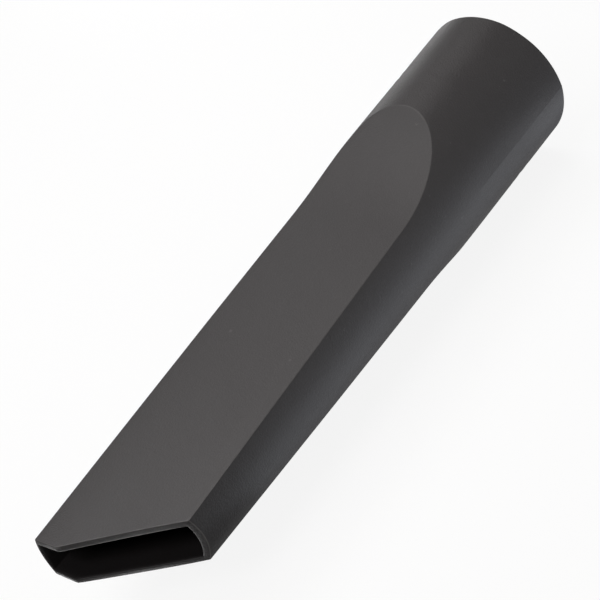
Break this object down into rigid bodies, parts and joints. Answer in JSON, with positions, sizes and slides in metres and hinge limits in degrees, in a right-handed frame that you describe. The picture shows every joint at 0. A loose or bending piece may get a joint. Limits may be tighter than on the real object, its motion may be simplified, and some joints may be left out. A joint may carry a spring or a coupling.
{
  "type": "vacuum crevice nozzle",
  "caption": "Straight hollow crevice nozzle for a vacuum cleaner: a round push-on socket that ramps into a slim flat duct with a slanted mouth.",
  "frame": {"origin": "centre of the socket's end face, on the axis of the bore", "axes": "+X along the bore's axis from the socket to the mouth, +Z square to the two broad flats, +Y towards the side that the long cut shortens"},
  "size_m": [0.1557, 0.036, 0.036],
  "materials": {
    "plastic": "very dark warm grey, fine spark-eroded satin-matte moulded surface"
  },
  "bodies": {
    "root": {"nozzle": "plastic"}
  },
  "joints": []
}
